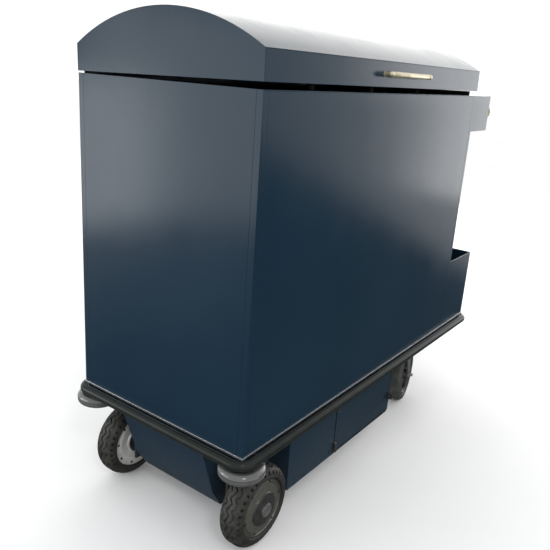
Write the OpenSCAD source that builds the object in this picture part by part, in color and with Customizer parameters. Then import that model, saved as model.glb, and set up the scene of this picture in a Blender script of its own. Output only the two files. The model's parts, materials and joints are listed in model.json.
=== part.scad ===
// Powered hotel luggage cart: a tall sheet-metal box with a hinged barrel lid on a bumper-railed deck,
// two hub-motor wheels under the plain end and two swivel casters under the operator end.
// Millimetres. +Z up, z = 0 on the floor. The plain end faces -Y, the operator end faces +Y,
// and the lid opens from the +X side about a hinge on the -X side.

/* [Luggage box] */
// Outside width of the box
body_w = 600; // [540:10:680]
// Outside length of the box
body_l = 1220; // [1060:10:1360]
// Height of the box walls above the deck
body_h = 875; // [740:5:960]
// Sheet thickness of the box walls
wall_t = 1.5; // [1:0.1:3]
// Width of each visible face of the corner posts
post_w = 18; // [14:1:30]
// Length of the hidden leg that carries the edge of each wall
post_leg = 32; // [26:1:48]
// Gap between neighbouring sheet edges
seam = 0.3; // [0.2:0.1:0.6]
// Section of the square bars round the mouth of the box
rim_bar = 20; // [16:1:26]
// Thickness of the rubber mat in the box
mat_t = 3; // [2:0.5:6]

/* [Deck and frame] */
// Height of the top of the deck above the floor
deck_z = 340; // [320:1:380]
// Sheet thickness of the deck
deck_t = 2; // [1.5:0.5:4]
// Height of the bright edge strip above the deck
edge_h = 5; // [3:0.5:10]
// Thickness of the bright edge strip
edge_t = 2.5; // [1.5:0.5:4]
// Section of the square frame tubes
frame_bar = 25; // [20:1:30]
// Width of the two inner frame tubes
inner_bar_w = 40; // [30:1:50]
// Distance from the middle of the cart to each inner frame tube
inner_bar_x = 190; // [170:1:210]
// Wall of the frame tubes
tube_wall = 2; // [1.5:0.5:3]
// Distance that the frame stays inside the box walls
frame_inset = 4; // [3:0.5:8]
// Length of the solid blocks at the corners of the frame
corner_block = 52; // [46:1:60]

/* [Bumper rail] */
// Diameter of the rail
rail_d = 28; // [22:1:32]
// Distance of the rail's middle outside the box walls
rail_out = 12; // [11:1:20]
// Corner radius along the middle of the rail
rail_corner_r = 36; // [30:1:46]
// Gap between the rail and the deck above it
rail_drop = 0.5; // [0.3:0.1:3]
// Length of each saddle that carries the rail
saddle_l = 14; // [10:1:24]
// Number of saddles along each side
saddle_count = 5; // [3:1:8]

/* [Corner rollers] */
// Diameter of the rollers
roller_d = 124; // [100:1:130]
// Thickness of the rollers
roller_t = 36; // [28:1:40]
// Distance of the roller's axis inside the side wall
roller_in_x = 22; // [18:1:30]
// Distance of the roller's axis inside the end wall
roller_in_y = 29; // [24:1:36]
// Diameter of the roller bolts
roller_bolt_d = 16; // [12:1:18]
// Gap between the rail and the rollers
roller_drop = 1.5; // [1:0.5:4]
// Thickness of the web that carries the rim of each roller
roller_web = 24; // [16:1:28]

/* [Lid] */
// Distance that the lid stands outside the box walls
lid_over = 1; // [0.5:0.5:4]
// Height of the lid's side skirts
skirt_h = 66; // [50:1:90]
// Rise of the arched roof above the skirts
arch_rise = 85; // [60:1:120]
// Sheet thickness of the lid
lid_t = 1.5; // [1:0.1:3]
// Gap under the closed lid
lid_gap = 4.5; // [4:0.1:8]
// Angle at which the lid rests on its buffers
lid_tilt = 1.06; // [0.6:0.01:2]
// Section of the bars inside the lid
lid_bar = 20; // [14:1:26]
// Width of the stiffener under the crown
ridge_w = 36; // [24:1:60]
// Depth of the stiffener under the crown
ridge_h = 12; // [8:1:20]
// Radius of the rubber buffers
buffer_r = 8; // [5:1:9]
// Distances of the buffers from the middle of the box
buffer_spots = [-420, -140, 140]; // [-520:10:520]

/* [Lid hinge] */
// Distance of the hinge axis outside the box wall
hinge_out = 7; // [6.5:0.5:10]
// Distance of each end of the long hinge from the end wall
hinge_in = 22; // [10:1:60]
// Number of knuckles along the hinge, an odd number
knuckle_count = 21; // [9:2:31]
// Radius of the hinge knuckles
knuckle_r = 5; // [4.5:0.5:6]
// Radius of the hinge pins
pin_r = 2.5; // [2:0.1:3]
// Running clearance round pins and axles
run_fit = 0.05; // [0.03:0.01:0.1]
// Height of the hinge leaves
leaf_h = 30; // [20:1:40]
// Thickness of the hinge leaves
leaf_t = 2; // [1.5:0.5:3]

/* [Lid handle] */
// Length of the pull bar
handle_l = 260; // [200:5:420]
// Diameter of the pull bar
handle_d = 15; // [13:1:20]
// Distance of the bar's middle outside the box wall
handle_out = 22; // [20:1:30]
// Distance of the bar's middle behind the middle of the lid
handle_back = 24; // [-60:1:60]
// Distance of each handle post from the bar's middle
handle_post_y = 118; // [80:1:122]
// Diameter of the handle posts
handle_post_d = 10; // [7:1:12]
// Diameter of the foot of each handle post
handle_foot_d = 13; // [12:1:26]
// Thickness of the foot of each handle post
handle_foot_t = 2; // [1:0.5:5]

/* [Operator end] */
// Depth of the control box
control_d = 155; // [110:5:190]
// Height of the control box
control_h = 124; // [100:2:170]
// Sheet thickness of the control box
control_t = 2; // [1.5:0.5:3]
// Diameter of the collar behind the drive button
bezel_d = 50; // [36:1:52]
// Depth of the collar
bezel_h = 21; // [6:1:26]
// Diameter of the drive button
button_d = 50; // [40:1:52]
// Depth of the drive button
button_h = 13; // [8:1:16]
// Diameter of the drive button's stem
button_stem_d = 16; // [12:1:20]
// Length of the stem inside the control box
button_stem_in = 24; // [10:1:60]
// Travel of the drive button
button_travel = 4; // [2:0.5:5]
// Distance of the button's axis inside the side wall
button_in_x = 27; // [27:1:60]
// Distance of the button's axis below the top of the box
button_down = 58; // [40:1:70]
// Depth of the open storage bin
bin_d = 209; // [150:1:260]
// Height of the bin's walls above the deck
bin_h = 264; // [200:2:340]

/* [Power box] */
// Clearance between the floor and the power box
box_clear = 80; // [60:1:100]
// Half of the power box's width
box_half_w = 258; // [240:1:268]
// Length of the power box in front of the middle of the luggage box
box_front = 334; // [300:1:340]
// Length of the power box behind the middle of the luggage box
box_rear = 302; // [260:1:330]
// Sheet thickness of the power box and the fascia
box_t = 1.5; // [1:0.1:2]
// Length of the chamfer at the rear lower edge
box_cham_y = 11; // [6:1:20]
// Height of the chamfer at the rear lower edge
box_cham_z = 8; // [5:1:16]
// Distance of the door's hinged edge in front of the middle of the luggage box
door_front = 78; // [40:1:120]
// Gap round the access door
door_gap = 2.5; // [1.5:0.1:3]
// Gap between the rail and the top of the access door
door_drop = 3; // [2:0.5:8]
// Width of the fixed strip behind the access door
door_stile = 6; // [5:0.5:12]
// Distance of the door hinge's axis outside the door
door_axis_out = 5.5; // [5:0.5:8]
// Height of each door hinge
door_hinge_h = 30; // [20:2:44]
// Distance of the lower door hinge above the bottom of the power box
door_hinge_up = 12; // [10:1:30]
// Distance of the upper door hinge below the frame
door_hinge_down = 44; // [30:1:60]
// Height of the latch knob above the bottom of the power box
latch_up = 70; // [50:1:120]
// Distance of the latch knob from the rear wall
latch_in = 16; // [14:1:24]
// Radius of the latch knob
latch_r = 11; // [8:0.5:13]
// Length of the latch knob
latch_l = 16; // [12:1:22]

/* [Fascia between the drive wheels] */
// Half of the fascia's width
fascia_half_w = 154; // [140:1:160]
// Distance from the end wall of the box to the fascia's top
fascia_top_in = 8; // [8:1:30]
// Distance from the end wall of the box to the fascia's bend
fascia_bend_in = 65; // [50:1:80]
// Distance from the end wall of the box to the fascia's foot
fascia_foot_in = 101; // [85:1:120]
// Height of the fascia's bend above its foot
fascia_bend_h = 58; // [40:1:80]

/* [Batteries and controller] */
// Width, length and height of the battery pack
battery = [400, 320, 150]; // [100:5:480]
// Distance of the battery pack from the sloping rear edge of its floor
battery_in = 30; // [10:1:60]
// Width, length and height of the motor controller
controller = [180, 120, 50]; // [40:5:240]
// Distance of the motor controller in front of the power box
controller_in = 24; // [10:1:60]
// Number of cooling fins on the motor controller
fin_count = 7; // [4:1:10]

/* [Drive wheels] */
// Diameter of the drive tyres
drive_d = 234; // [210:2:240]
// Width of the drive tyres
drive_w = 72; // [50:1:76]
// Radius of the tyre's shoulders
drive_shoulder = 28; // [16:1:32]
// Diameter of the wheel rim
rim_d = 168; // [140:2:176]
// Width of the wheel rim
rim_w = 60; // [44:1:66]
// Distance from the middle of the cart to each drive wheel
drive_x = 250; // [240:1:256]
// Distance from the end wall of the box to the drive axle
drive_in = 128; // [124:1:140]
// Radial thickness of the wheel rim
rim_wall = 12; // [8:1:16]
// Thickness of the motor's side plates
side_plate = 6; // [4:0.5:8]
// Diameter of the drive axles
axle_d = 16; // [12:1:18]
// Gap between each drive tyre and its bracket
bracket_gap = 26; // [18:1:34]
// Thickness of the drive wheel brackets
bracket_t = 8; // [5:0.5:10]
// Half of the width of the drive wheel brackets
bracket_half = 40; // [28:1:46]
// Distance of the drive wheel brackets below the axle
bracket_down = 32; // [24:1:40]

/* [Casters] */
// Diameter of the caster wheels
caster_d = 224; // [180:2:230]
// Width of the caster wheels
caster_w = 50; // [36:1:54]
// Diameter of the caster wheel's core
core_d = 172; // [130:2:180]
// Distance from the middle of the cart to each caster
caster_x = 187; // [170:1:200]
// Distance from the middle of the luggage box to the swivel axis
caster_y = 529; // [500:1:560]
// Distance that the caster wheel trails behind its swivel axis
trail = 45; // [35:1:55]
// Angle at which the casters are left swivelled
caster_turned = 12; // [-180:1:180]
// Thickness of the fork
fork_t = 5; // [4:0.5:8]
// Gap between the caster wheel and each leg of the fork
fork_gap = 3; // [2:0.5:6]
// Diameter of the caster axle bolt
bolt_d = 12; // [8:1:14]
// Diameter of the kingpin
kingpin_d = 20; // [14:1:24]
// Depth of the beam that carries the casters
beam_h = 44; // [36:1:50]
// Width of the beam that carries the casters
beam_w = 100; // [80:1:120]

/* [Hidden] */
$fn = 64;

LEFT = -1;
RIGHT = 1;
// Overlap that lets a cut run through a face
cut = 1;
// Clearance between touching pieces of different bodies
gap = 0.3;
// Width across the corners of a bolt head or nut, over the bolt's diameter
head_ratio = 1.75;

half_w = body_w / 2;
half_l = body_l / 2;
// The origin is at the middle of the overall length, from the front rollers to the rear of the rail
front_reach = half_l - roller_in_y + roller_d / 2;
rear_reach = half_l + bin_d + rail_out + rail_d / 2;
mid_y = (front_reach - rear_reach) / 2;
front_y = mid_y - half_l;
rear_y = mid_y + half_l;
bin_y = rear_y + bin_d;

// Heights
body_top = deck_z + body_h;
frame_top = deck_z - deck_t;
frame_bottom = frame_top - frame_bar;
rail_z = frame_top - rail_drop - rail_d / 2;
roller_z = rail_z - rail_d / 2 - roller_drop - roller_t / 2;
box_z = box_clear;

// Frame outline
frame_x = half_w - frame_inset;
frame_front = front_y + frame_inset;
frame_rear = bin_y - frame_inset;
block_r = rail_corner_r - rail_out - frame_inset;
rail_x = half_w + rail_out;
rail_front = front_y - rail_out;
rail_rear = bin_y + rail_out;
roller_x = half_w - roller_in_x;
roller_y = front_y + roller_in_y;

// Lid
lid_half_w = half_w + lid_over;
lid_half_l = half_l + lid_over;
lid_z = body_top + lid_gap;
arch_r = (lid_half_w * lid_half_w + arch_rise * arch_rise) / (2 * arch_rise);
arch_z = lid_z + skirt_h + arch_rise - arch_r;
hinge_x = -half_w - hinge_out;
hinge_z = body_top + lid_gap / 2;
hinge_half = half_l - hinge_in;
knuckle_l = 2 * hinge_half / knuckle_count;
// Height of the hinge axis above the web that joins each knuckle to its leaf
web_clear = 2.4;
handle_z = lid_z + skirt_h / 2;
handle_x = half_w + handle_out;
handle_y = mid_y + handle_back;

// Power box
box_front_y = mid_y - box_front;
box_rear_y = mid_y + box_rear;
door_y = mid_y - door_front;
door_axis_x = box_half_w + door_axis_out;
door_rear_y = box_rear_y - door_stile;
door_foot = box_z + box_t + door_gap + box_cham_z / 2;
door_top = rail_z - rail_d / 2 - door_drop;
door_hinge_z = [box_z + door_hinge_up, frame_bottom - door_hinge_down - door_hinge_h];
latch_y = box_rear_y - latch_in;
latch_z = box_z + latch_up;

// Wheels
drive_r = drive_d / 2;
rim_r = rim_d / 2;
drive_y = front_y + drive_in;
bracket_x = drive_x - drive_w / 2 - bracket_gap;
caster_r = caster_d / 2;
swivel_y = mid_y + caster_y;
caster_wheel_y = swivel_y + trail;
beam_z = frame_bottom - beam_h;
mount_t = 6;
race_t = 8;
fork_top = beam_z - mount_t - race_t - gap;
fork_race_t = 6;
crown_z = fork_top - fork_race_t - fork_t;
fork_half = caster_w / 2 + fork_gap + fork_t;

// Control box
control_z = body_top - control_h;
control_y = rear_y + control_d;
button_x = half_w - button_in_x;
button_z = body_top - button_down;
// Spots along the cart, from the middle of the luggage box, that have a cross member
cross_spots = [-400, -60, 260];

navy = "#243242";
steel = "#8b9094";
bright = "#c9ccce";
rubber = "#55595a";
black = "#26282a";
brass = "#cdbb8c";

// A box given by its span along each axis
module block(x, y, z) {
    translate([x[0], y[0], z[0]]) cube([x[1] - x[0], y[1] - y[0], z[1] - z[0]]);
}

// A square tube along Y, open at both ends
module tube_y(x, y, z) {
    difference() {
        block(x, y, z);
        block([x[0] + tube_wall, x[1] - tube_wall], [y[0] - cut, y[1] + cut],
              [z[0] + tube_wall, z[1] - tube_wall]);
    }
}

// A square tube along X, open at both ends
module tube_x(x, y, z) {
    difference() {
        block(x, y, z);
        block([x[0] - cut, x[1] + cut], [y[0] + tube_wall, y[1] - tube_wall],
              [z[0] + tube_wall, z[1] - tube_wall]);
    }
}

// A round bar of radius r along X, from x[0] to x[1]
module rod_x(x, r, y, z) {
    translate([x[0], y, z]) rotate([0, 90, 0]) cylinder(r = r, h = x[1] - x[0]);
}

// A round bar of radius r along Y, from y[0] to y[1]
module rod_y(y, r, x, z) {
    translate([x, y[1], z]) rotate([90, 0, 0]) cylinder(r = r, h = y[1] - y[0]);
}

// Makes its children on both sides of the cart
module both_sides() {
    children();
    mirror([1, 0, 0]) children();
}

// Puts a left or right copy on its side of the cart
module on_side(side) {
    mirror([side == LEFT ? 1 : 0, 0, 0]) children();
}

// Puts the closed lid at its resting angle on the buffers
module lid_at_rest() {
    translate([hinge_x, 0, hinge_z]) rotate([0, -lid_tilt, 0]) translate([-hinge_x, 0, -hinge_z]) children();
}

// ---- Frame ----

module frame_long_rails() {
    color(steel) both_sides() {
        tube_y([frame_x - frame_bar, frame_x], [frame_front + corner_block, frame_rear - corner_block],
               [frame_bottom, frame_top]);
        tube_y([inner_bar_x - inner_bar_w / 2, inner_bar_x + inner_bar_w / 2],
               [frame_front + frame_bar, frame_rear - frame_bar], [frame_bottom, frame_top]);
    }
}

module frame_cross_members() {
    inner_face = inner_bar_x - inner_bar_w / 2;
    outer_face = inner_bar_x + inner_bar_w / 2;
    color(steel) {
        for (y = [frame_front, frame_rear - frame_bar])
            tube_x([-frame_x + corner_block, frame_x - corner_block], [y, y + frame_bar],
                   [frame_bottom, frame_top]);
        for (spot = cross_spots) {
            y = [mid_y + spot - frame_bar / 2, mid_y + spot + frame_bar / 2];
            tube_x([-inner_face, inner_face], y, [frame_bottom, frame_top]);
            both_sides() tube_x([outer_face, frame_x - frame_bar], y, [frame_bottom, frame_top]);
        }
    }
}

// One solid corner of the frame, with its round outer corner at the origin's far side
module corner_solid() {
    translate([0, 0, frame_bottom]) linear_extrude(frame_bar) union() {
        square([corner_block, corner_block - block_r]);
        square([corner_block - block_r, corner_block]);
        translate([corner_block - block_r, corner_block - block_r]) circle(r = block_r);
    }
}

module frame_corner_blocks() {
    color(steel) both_sides() {
        difference() {
            translate([frame_x - corner_block, frame_front + corner_block, 0])
                mirror([0, 1, 0]) corner_solid();
            translate([roller_x, roller_y, frame_bottom - cut])
                cylinder(d = roller_bolt_d + 2 * run_fit, h = frame_bar + 2 * cut);
        }
        translate([frame_x - corner_block, frame_rear - corner_block, 0]) corner_solid();
    }
}

module caster_beam() {
    color(steel) tube_x([-frame_x + 2 * frame_bar, frame_x - 2 * frame_bar],
        [swivel_y - beam_w / 2, swivel_y + beam_w / 2], [beam_z, frame_bottom]);
}

// ---- Deck and bumper rail ----

module deck_pan() {
    edge = edge_t + seam;
    color(navy) block([-half_w - edge, half_w + edge], [front_y - edge, bin_y + edge], [frame_top, deck_z]);
}

module deck_edge_strips() {
    out = edge_t + seam;
    color(bright) {
        both_sides() block([half_w + seam, half_w + out], [front_y - out, bin_y + out],
                           [deck_z, deck_z + edge_h]);
        for (y = [front_y - out, bin_y + seam])
            block([-half_w, half_w], [y, y + edge_t], [deck_z, deck_z + edge_h]);
    }
}

// One quarter bend of the rail about its corner's centre, towards +X and +Y
module rail_bend() {
    rotate_extrude(angle = 90) translate([rail_corner_r, 0]) circle(d = rail_d);
}

module bumper_rail() {
    bend_x = rail_x - rail_corner_r;
    bend_front = rail_front + rail_corner_r;
    bend_rear = rail_rear - rail_corner_r;
    color(rubber) {
        both_sides() {
            rod_y([bend_front + seam, bend_rear - seam], rail_d / 2, rail_x, rail_z);
            translate([bend_x, bend_rear, rail_z]) rail_bend();
            translate([bend_x, bend_front, rail_z]) mirror([0, 1, 0]) rail_bend();
        }
        for (y = [rail_front, rail_rear])
            rod_x([-bend_x + seam, bend_x - seam], rail_d / 2, y, rail_z);
    }
}

// A small block between the frame and a rail that runs along Y, hollowed to the rail's curve
module side_saddle(y) {
    half_h = rail_d / 3;
    difference() {
        block([frame_x, rail_x - rail_d / 4], [y - saddle_l / 2, y + saddle_l / 2],
              [rail_z - half_h, rail_z + half_h]);
        rod_y([y - saddle_l, y + saddle_l], rail_d / 2 + run_fit, rail_x, rail_z);
    }
}

module end_saddle(x) {
    half_h = rail_d / 3;
    difference() {
        block([x - saddle_l / 2, x + saddle_l / 2], [rail_front + rail_d / 4, frame_front],
              [rail_z - half_h, rail_z + half_h]);
        rod_x([x - saddle_l, x + saddle_l], rail_d / 2 + run_fit, rail_front, rail_z);
    }
}

module rail_saddles() {
    first = frame_front + corner_block;
    pitch = (frame_rear - frame_front - 2 * corner_block) / (saddle_count - 1);
    color(steel) {
        both_sides() for (i = [0 : saddle_count - 1]) side_saddle(first + i * pitch);
        for (x = [-half_w / 2, half_w / 2]) {
            end_saddle(x);
            translate([0, rail_front + rail_rear, 0]) mirror([0, 1, 0]) end_saddle(x);
        }
    }
}

// ---- Corner rollers ----

module corner_roller(side) {
    lobe = roller_t / 2;
    bore = roller_bolt_d / 2 + run_fit;
    color("#8d9091") translate([side * roller_x, roller_y, roller_z]) rotate_extrude() union() {
        translate([roller_d / 2 - lobe, 0]) circle(r = lobe);
        translate([bore, -roller_web / 2]) square([roller_d / 2 - lobe - bore, roller_web]);
    }
}

module roller_bolts() {
    head_h = 8;
    foot_z = roller_z - roller_web / 2 - gap;
    seat_z = roller_z + roller_web / 2 + gap;
    color(bright) both_sides() translate([roller_x, roller_y, 0]) {
        translate([0, 0, foot_z - head_h]) cylinder(d = head_ratio * roller_bolt_d, h = head_h, $fn = 6);
        translate([0, 0, foot_z - cut]) cylinder(d = roller_bolt_d, h = frame_top - foot_z);
        translate([0, 0, seat_z]) cylinder(d = 2 * roller_bolt_d, h = frame_bottom - seat_z);
    }
}

// ---- Luggage box ----

module end_wall(y) {
    reach = half_w - post_w - seam;
    color(navy) block([-reach, reach], [y, y + wall_t], [deck_z, body_top]);
}

module side_wall(side) {
    reach = half_l - post_w - seam;
    color(navy) on_side(side)
        block([half_w - wall_t, half_w], [mid_y - reach, mid_y + reach], [deck_z, body_top]);
}

// One corner post at +X and +Y: a visible angle, and an inner angle that carries the wall edges
module corner_post() {
    inner = half_w - wall_t;
    inner_l = half_l - wall_t;
    z = [deck_z, body_top];
    block([half_w - post_w, half_w], [half_l - wall_t, half_l], z);
    block([half_w - wall_t, half_w], [half_l - post_w, half_l], z);
    block([half_w - post_leg, inner], [inner_l - wall_t, inner_l], z);
    block([inner - wall_t, inner], [half_l - post_leg, inner_l], z);
}

module corner_posts() {
    color(navy) translate([0, mid_y, 0]) both_sides() {
        corner_post();
        mirror([0, 1, 0]) corner_post();
    }
}

module top_rim() {
    x = half_w - 2 * wall_t;
    y = half_l - 2 * wall_t;
    z = [body_top - rim_bar, body_top];
    color(navy) translate([0, mid_y, 0]) {
        both_sides() tube_y([x - rim_bar, x], [-y, y], z);
        for (end = [-y, y - rim_bar])
            tube_x([-x + rim_bar + seam, x - rim_bar - seam], [end, end + rim_bar], z);
    }
}

module floor_mat() {
    color(black) block([-half_w + post_leg, half_w - post_leg], [front_y + post_leg, rear_y - post_leg],
                       [deck_z, deck_z + mat_t]);
}

// Height of the resting lid's underside above the box, at a given distance across
function lid_under(x) = lid_gap / 2 + (lid_gap / 2) * cos(lid_tilt) + (x - hinge_x) * sin(lid_tilt);

module lid_buffers() {
    x = half_w - 2 * wall_t - rim_bar / 2;
    color(black) for (side = [LEFT, RIGHT]) for (spot = buffer_spots)
        translate([side * x, mid_y + spot, body_top])
            cylinder(r = buffer_r, h = lid_under(side * x - buffer_r) - gap);
}

// ---- Lid ----

module arch_disc(r) {
    translate([0, arch_z]) circle(r = r, $fn = 180);
}

// Extrudes an outline drawn in X and Z along Y
module along_y(y) {
    translate([0, y[1], 0]) rotate([90, 0, 0]) linear_extrude(y[1] - y[0]) children();
}

module lid_roof() {
    reach = lid_half_l - lid_t - seam;
    foot = lid_z + skirt_h;
    color(navy) lid_at_rest() along_y([mid_y - reach, mid_y + reach]) intersection() {
        difference() {
            arch_disc(arch_r);
            arch_disc(arch_r - lid_t);
        }
        translate([-lid_half_w, foot]) square([2 * lid_half_w, arch_rise + cut]);
    }
}

module gable_outline() {
    foot = lid_z + skirt_h;
    translate([-lid_half_w, lid_z]) square([2 * lid_half_w, skirt_h]);
    intersection() {
        arch_disc(arch_r);
        translate([-lid_half_w, foot - cut]) square([2 * lid_half_w, arch_rise + 2 * cut]);
    }
}

module lid_gables() {
    color(navy) lid_at_rest() for (y = [mid_y - lid_half_l, mid_y + lid_half_l - lid_t])
        along_y([y, y + lid_t]) gable_outline();
}

module lid_side_skirts() {
    reach = lid_half_l - lid_t - seam;
    color(navy) lid_at_rest() both_sides()
        block([lid_half_w - lid_t, lid_half_w], [mid_y - reach, mid_y + reach],
              [lid_z, lid_z + skirt_h - seam]);
}

module lid_frame() {
    x = lid_half_w - lid_t;
    y = lid_half_l - lid_t;
    z = [lid_z, lid_z + lid_bar];
    ridge_z = arch_z + arch_r - lid_t - ridge_w * ridge_w / (8 * arch_r) - seam;
    color(navy) lid_at_rest() translate([0, mid_y, 0]) {
        both_sides() tube_y([x - lid_bar, x], [-y, y], z);
        for (end = [-y, y - lid_bar])
            tube_x([-x + lid_bar + seam, x - lid_bar - seam], [end, end + lid_bar], z);
        block([-ridge_w / 2, ridge_w / 2], [-y, y], [ridge_z - ridge_h, ridge_z]);
    }
}

// ---- Lid hinge and handle ----

module knuckle(y, r) {
    rod_y(y, r, hinge_x, hinge_z);
}

// Every other knuckle of the long hinge, each with the web that joins it to a leaf
module knuckle_row(first, wall_x, web_z) {
    for (i = [first : 2 : knuckle_count - 1]) {
        y = [-hinge_half + i * knuckle_l + seam / 2, -hinge_half + (i + 1) * knuckle_l - seam / 2];
        knuckle(y, knuckle_r);
        block([hinge_x, wall_x], y, web_z);
    }
}

module body_hinge_leaves() {
    z = [hinge_z - leaf_h, hinge_z - knuckle_r - seam];
    color(steel) translate([0, mid_y, 0]) difference() {
        union() {
            block([-half_w - leaf_t, -half_w], [-hinge_half, hinge_half], z);
            knuckle_row(0, -half_w, [z[1] - seam, hinge_z - web_clear]);
        }
        knuckle([-half_l, half_l], pin_r + run_fit);
    }
}

module lid_hinge_leaves() {
    z = [hinge_z + knuckle_r + seam, hinge_z + leaf_h];
    color(steel) lid_at_rest() translate([0, mid_y, 0]) difference() {
        union() {
            block([-lid_half_w - leaf_t, -lid_half_w], [-hinge_half, hinge_half], z);
            knuckle_row(1, -lid_half_w, [hinge_z + web_clear, z[0] + seam]);
        }
        knuckle([-half_l, half_l], pin_r + run_fit);
    }
}

module hinge_pins() {
    head = 2;
    head_r = knuckle_r - 1;
    color(bright) {
        translate([0, mid_y, 0]) {
            knuckle([-hinge_half, hinge_half], pin_r);
            for (end = [-hinge_half - head, hinge_half]) knuckle([end, end + head], head_r);
        }
        for (z = door_hinge_z) translate([door_axis_x, door_y, z]) {
            cylinder(r = pin_r, h = door_hinge_h);
            translate([0, 0, door_hinge_h]) cylinder(r = head_r, h = head);
            translate([0, 0, -head]) cylinder(r = head_r, h = head);
        }
    }
}

module lid_handle_bar() {
    color(brass) lid_at_rest() translate([0, handle_y, 0]) difference() {
        rod_y([-handle_l / 2, handle_l / 2], handle_d / 2, handle_x, handle_z);
        for (y = [-handle_post_y, handle_post_y]) rod_x([half_w, handle_x], handle_post_d / 2, y, handle_z);
    }
}

module lid_handle_posts() {
    color(brass) lid_at_rest() translate([0, handle_y, 0]) for (y = [-handle_post_y, handle_post_y]) {
        rod_x([lid_half_w, handle_x], handle_post_d / 2, y, handle_z);
        rod_x([lid_half_w, lid_half_w + handle_foot_t], handle_foot_d / 2, y, handle_z);
    }
}

// ---- Operator end ----

module control_box_housing() {
    wall = control_t;
    color(navy) difference() {
        block([-half_w, half_w], [rear_y, control_y], [control_z, body_top]);
        block([-half_w + wall, half_w - wall], [rear_y - cut, control_y - wall],
              [control_z - cut, body_top - wall]);
        rod_y([control_y - 2 * wall, control_y + cut], button_stem_d / 2 + gap, button_x, button_z);
    }
}

module control_box_cover() {
    wall = control_t + seam;
    color(navy) block([-half_w + wall, half_w - wall], [rear_y, control_y - wall],
                      [control_z, control_z + control_t]);
}

module switch_bezel() {
    color(black) difference() {
        rod_y([control_y, control_y + bezel_h], bezel_d / 2, button_x, button_z);
        rod_y([control_y - cut, control_y + bezel_h + cut], button_stem_d / 2 + run_fit, button_x, button_z);
    }
}

module switch_button() {
    cap_y = control_y + bezel_h + button_travel + gap;
    color("#e8e4c8") {
        rod_y([cap_y, cap_y + button_h], button_d / 2, button_x, button_z);
        rod_y([control_y - button_stem_in, cap_y + cut], button_stem_d / 2, button_x, button_z);
    }
}

module bin_walls() {
    z = [deck_z, deck_z + bin_h];
    color(navy) {
        both_sides() block([half_w - wall_t, half_w], [rear_y + seam, bin_y - wall_t - seam], z);
        block([-half_w, half_w], [bin_y - wall_t, bin_y], z);
    }
}

// ---- Power box ----

// Extrudes an outline drawn in Y and Z along X
module along_x(x) {
    translate([x[0], 0, 0]) rotate([90, 0, 90]) linear_extrude(x[1] - x[0]) children();
}

// The wide floor with its sloping rear edge, and the narrow floor between the drive wheels
module power_box_floor() {
    reach = box_half_w;
    slope_z = box_z + box_cham_z;
    color(navy) {
        along_x([-reach, reach]) polygon([
            [box_front_y, box_z], [box_rear_y - box_cham_y, box_z], [box_rear_y, slope_z],
            [box_rear_y, slope_z + box_t], [box_rear_y - box_t, slope_z + box_t],
            [box_rear_y - box_cham_y - box_t / 2, box_z + box_t], [box_front_y, box_z + box_t]
        ]);
        block([-fascia_half_w + box_t + seam, fascia_half_w - box_t - seam],
              [front_y + fascia_foot_in + box_t, box_front_y - seam], [box_z, box_z + box_t]);
    }
}

module power_box_end_walls() {
    reach = box_half_w - box_t - seam;
    // The latch's cam turns behind a strip that stands inside the rear wall
    strike_x = reach - seam;
    strike_half = 24;
    color(navy) {
        block([-reach, reach], [box_front_y, box_front_y + box_t], [box_z + box_t, frame_bottom]);
        block([-box_half_w, strike_x], [box_rear_y - box_t, box_rear_y],
              [box_z + box_cham_z + box_t, frame_bottom]);
        block([strike_x - box_t, strike_x], [box_rear_y - box_t - latch_in / 2, box_rear_y - box_t + seam],
              [latch_z - strike_half, latch_z + strike_half]);
    }
}

// The left wall, and the fixed frame round the door on the right, with its hinge knuckles
module power_box_side_walls() {
    x = [box_half_w - box_t, box_half_w];
    z = [box_z + box_t, frame_bottom];
    color(navy) {
        block([-x[1], -x[0]], [box_front_y, box_rear_y - box_t - seam], [z[0] + box_cham_z, z[1]]);
        block(x, [box_front_y, door_y - door_gap], z);
        block(x, [door_y - door_gap - cut, box_rear_y], [door_top + door_gap, z[1]]);
        block(x, [door_rear_y + door_gap, box_rear_y], [z[0] + box_cham_z, z[1]]);
        for (hz = door_hinge_z)
            door_knuckle(hz, [door_y - leaf_h, door_y - door_gap], [door_y - knuckle_r, door_y - door_gap]);
    }
}

// Half of a door hinge: a knuckle, its leaf along the wall and the web between them
module door_knuckle(foot, leaf_y, web_y) {
    z = [foot, foot + door_hinge_h / 2 - seam];
    difference() {
        union() {
            translate([door_axis_x, door_y, z[0]]) cylinder(r = knuckle_r, h = z[1] - z[0]);
            block([box_half_w, box_half_w + leaf_t], leaf_y, z);
            block([box_half_w, door_axis_x], web_y, z);
        }
        translate([door_axis_x, door_y, z[0] - cut]) cylinder(r = pin_r + run_fit, h = door_hinge_h);
    }
}

module access_door() {
    x = [box_half_w - box_t, box_half_w];
    color(navy) difference() {
        union() {
            block(x, [door_y + door_gap, door_rear_y], [door_foot, door_top]);
            for (hz = door_hinge_z)
                door_knuckle(hz + door_hinge_h / 2, [door_y + door_gap, door_y + leaf_h],
                             [door_y + door_gap, door_y + knuckle_r]);
        }
        rod_x([x[0] - cut, x[1] + cut], latch_r / 2 + run_fit, latch_y, latch_z);
    }
}

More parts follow.
